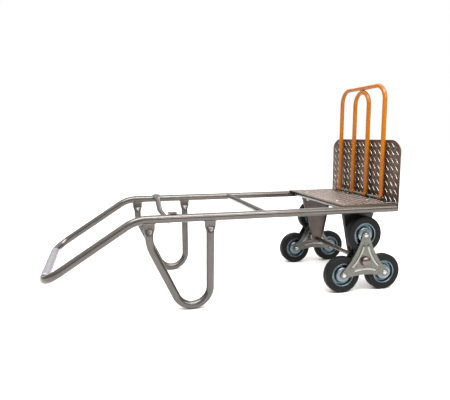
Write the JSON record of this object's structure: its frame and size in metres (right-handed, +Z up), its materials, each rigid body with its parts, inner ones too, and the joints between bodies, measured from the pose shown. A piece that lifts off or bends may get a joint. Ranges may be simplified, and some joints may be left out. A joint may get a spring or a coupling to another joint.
{
  "type": "stair-climbing hand truck",
  "caption": "Hand truck in carrier position: bent tube frame on loop legs, stair-climbing wheel stars on one axle, checker-plate nose with a fold-out tube extension.",
  "frame": {"origin": "on the ground, at the middle of the bounding box", "axes": "+Z up, +X towards the nose plate, +Y to the truck's left; rest pose has it on its legs with the extension upright"},
  "size_m": [1.5136, 0.614, 0.912],
  "materials": {
    "frame_paint": "silver-grey metallic paint, satin",
    "grip": "pale grey knurled sleeve",
    "bracket_steel": "brown-grey paint, satin",
    "axle_steel": "oiled bright-drawn steel",
    "zinc": "bright zinc plate",
    "cap_chrome": "polished",
    "tread_plate": "rolled tread plate, bright",
    "yellow_paint": "orange-yellow gloss paint",
    "star_steel": "zinc-plated pressed steel, satin",
    "rim_zinc": "bright zinc plate, bluish",
    "bush": "natural nylon",
    "tyre": "solid black rubber"
  },
  "bodies": {
    "frame": {"main_frame_tube": "frame_paint", "handle_grip": "grip", "left_leg": "frame_paint", "right_leg": "frame_paint", "dished_cross_tube": "frame_paint", "middle_cross_tube": "frame_paint", "rear_axle_cross_tube": "frame_paint", "front_axle_cross_tube": "frame_paint", "left_axle_bracket": "bracket_steel", "right_axle_bracket": "bracket_steel", "axle": "axle_steel", "axle_spacers": "zinc", "axle_washers": "zinc", "axle_caps": "cap_chrome", "base_plate": "tread_plate", "nose_plate": "tread_plate", "base_plate_bolts": "zinc", "base_plate_nuts": "zinc", "pivot_lugs": "frame_paint", "pivot_rod": "zinc", "pivot_nuts": "zinc"},
    "extension": {"outer_loop": "yellow_paint", "inner_loop": "yellow_paint", "pivot_sleeves": "yellow_paint"},
    "left_star": {"left_star_outer_plate": "star_steel", "left_star_inner_plate": "star_steel", "left_star_hub_sleeve": "star_steel", "left_star_hub_bushes": "bush", "left_star_wheel_bolts": "zinc", "left_star_wheel_nuts": "zinc"},
    "left_top_wheel": {"left_top_tyre": "tyre", "left_top_rim_discs": "rim_zinc", "left_top_roller_hub": "zinc", "left_top_rim_rivets": "zinc"},
    "left_front_wheel": {"left_front_tyre": "tyre", "left_front_rim_discs": "rim_zinc", "left_front_roller_hub": "zinc", "left_front_rim_rivets": "zinc"},
    "left_rear_wheel": {"left_rear_tyre": "tyre", "left_rear_rim_discs": "rim_zinc", "left_rear_roller_hub": "zinc", "left_rear_rim_rivets": "zinc"},
    "right_star": {"right_star_outer_plate": "star_steel", "right_star_inner_plate": "star_steel", "right_star_hub_sleeve": "star_steel", "right_star_hub_bushes": "bush", "right_star_wheel_bolts": "zinc", "right_star_wheel_nuts": "zinc"},
    "right_top_wheel": {"right_top_tyre": "tyre", "right_top_rim_discs": "rim_zinc", "right_top_roller_hub": "zinc", "right_top_rim_rivets": "zinc"},
    "right_front_wheel": {"right_front_tyre": "tyre", "right_front_rim_discs": "rim_zinc", "right_front_roller_hub": "zinc", "right_front_rim_rivets": "zinc"},
    "right_rear_wheel": {"right_rear_tyre": "tyre", "right_rear_rim_discs": "rim_zinc", "right_rear_roller_hub": "zinc", "right_rear_rim_rivets": "zinc"}
  },
  "joints": [
    {"name": "extension_fold", "type": "hinge", "parent": "frame", "child": "extension", "pos_m": [0.7012, 0, 0.4], "axis": [0, -1, 0], "range_deg": [0, 90]},
    {"name": "left_star_spin", "type": "hinge", "parent": "frame", "child": "left_star", "pos_m": [0.5772, 0.254, 0.1375], "axis": [0, 1, 0], "continuous": true},
    {"name": "left_top_wheel_spin", "type": "hinge", "parent": "left_star", "child": "left_top_wheel", "pos_m": [0.5772, 0.254, 0.2525], "axis": [0, 1, 0], "continuous": true},
    {"name": "left_front_wheel_spin", "type": "hinge", "parent": "left_star", "child": "left_front_wheel", "pos_m": [0.6768, 0.254, 0.08], "axis": [0, 1, 0], "continuous": true},
    {"name": "left_rear_wheel_spin", "type": "hinge", "parent": "left_star", "child": "left_rear_wheel", "pos_m": [0.47761, 0.254, 0.08], "axis": [0, 1, 0], "continuous": true},
    {"name": "right_star_spin", "type": "hinge", "parent": "frame", "child": "right_star", "pos_m": [0.5772, -0.254, 0.1375], "axis": [0, 1, 0], "continuous": true},
    {"name": "right_top_wheel_spin", "type": "hinge", "parent": "right_star", "child": "right_top_wheel", "pos_m": [0.5772, -0.254, 0.2525], "axis": [0, 1, 0], "continuous": true},
    {"name": "right_front_wheel_spin", "type": "hinge", "parent": "right_star", "child": "right_front_wheel", "pos_m": [0.6768, -0.254, 0.08], "axis": [0, 1, 0], "continuous": true},
    {"name": "right_rear_wheel_spin", "type": "hinge", "parent": "right_star", "child": "right_rear_wheel", "pos_m": [0.47761, -0.254, 0.08], "axis": [0, 1, 0], "continuous": true}
  ]
}
